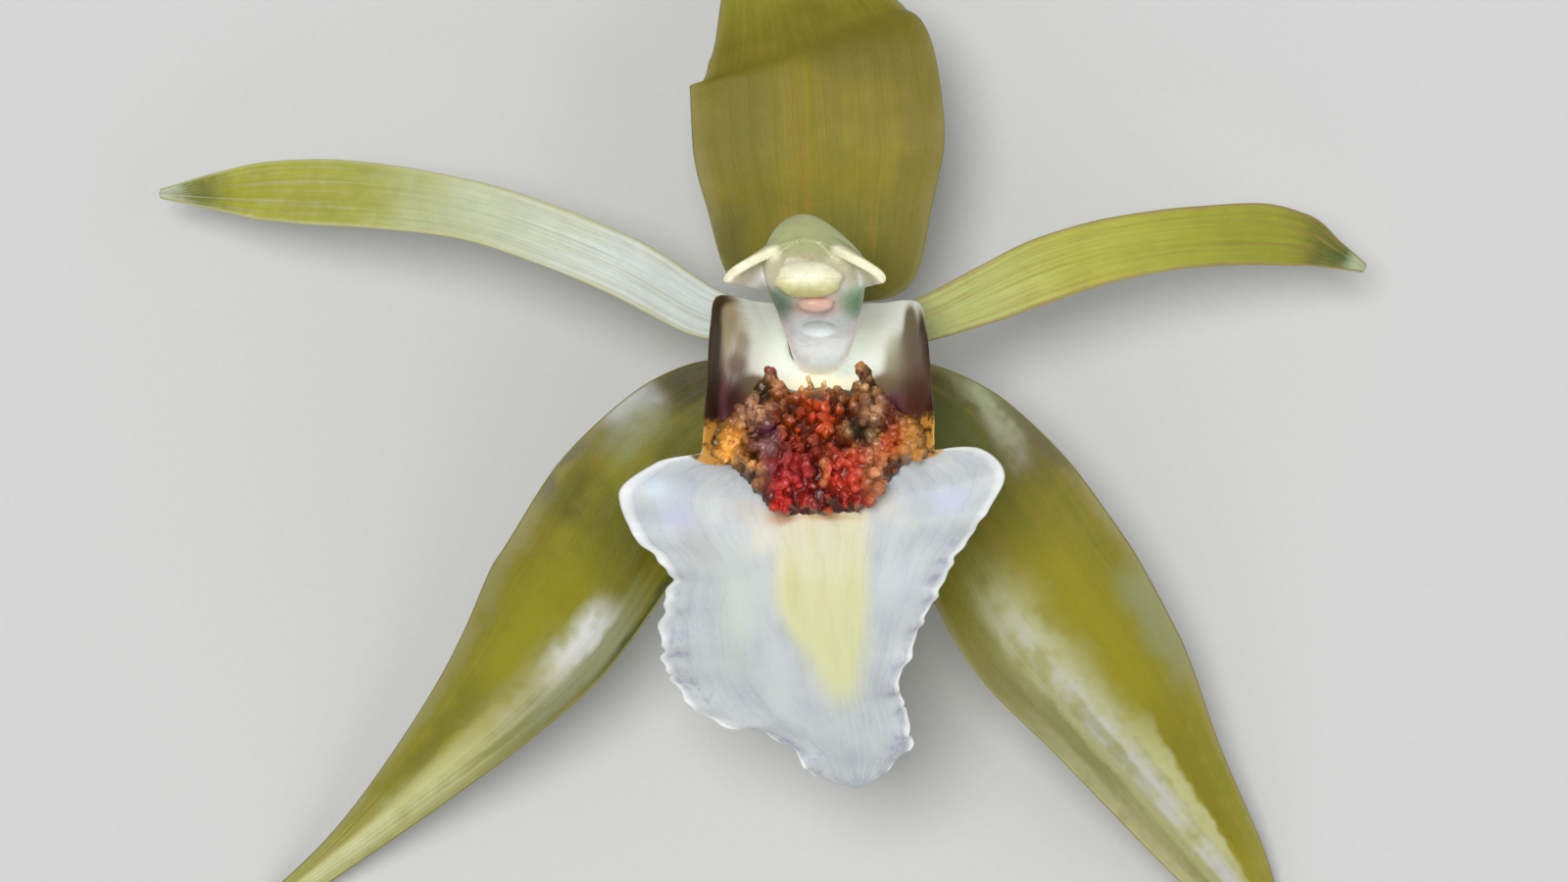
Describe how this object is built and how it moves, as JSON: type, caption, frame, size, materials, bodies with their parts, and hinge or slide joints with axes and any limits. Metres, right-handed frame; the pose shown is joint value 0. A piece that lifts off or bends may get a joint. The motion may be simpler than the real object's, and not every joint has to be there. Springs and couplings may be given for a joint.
{
  "type": "coelogyne orchid",
  "caption": "Coelogyne orchid flower, picked with its stalk and lying face up: narrow petals, broad olive sepals, a white lip with a warty orange crest and a hooded column.",
  "frame": {"origin": "middle of the flower's footprint, on the surface it lies on", "axes": "+Z out of the surface, the way the flower faces; +Y towards the tip of the dorsal sepal; -Y towards the lip's midlobe; +X to the flower's left as it faces up, the viewer's right"},
  "size_m": [0.1086, 0.1048, 0.0402],
  "materials": {
    "sepal": "satin",
    "petal": "satin",
    "lip": "satin",
    "crest": "satin",
    "column": "satin",
    "anther": "satin",
    "stalk": "satin"
  },
  "bodies": {
    "root": {"dorsal_sepal": "sepal", "left_lateral_sepal": "sepal", "right_lateral_sepal": "sepal", "left_petal": "petal", "right_petal": "petal", "lip": "lip", "lip_crests": "crest", "column": "column", "anther_cap": "anther", "ovary_and_stalk": "stalk"}
  },
  "joints": []
}
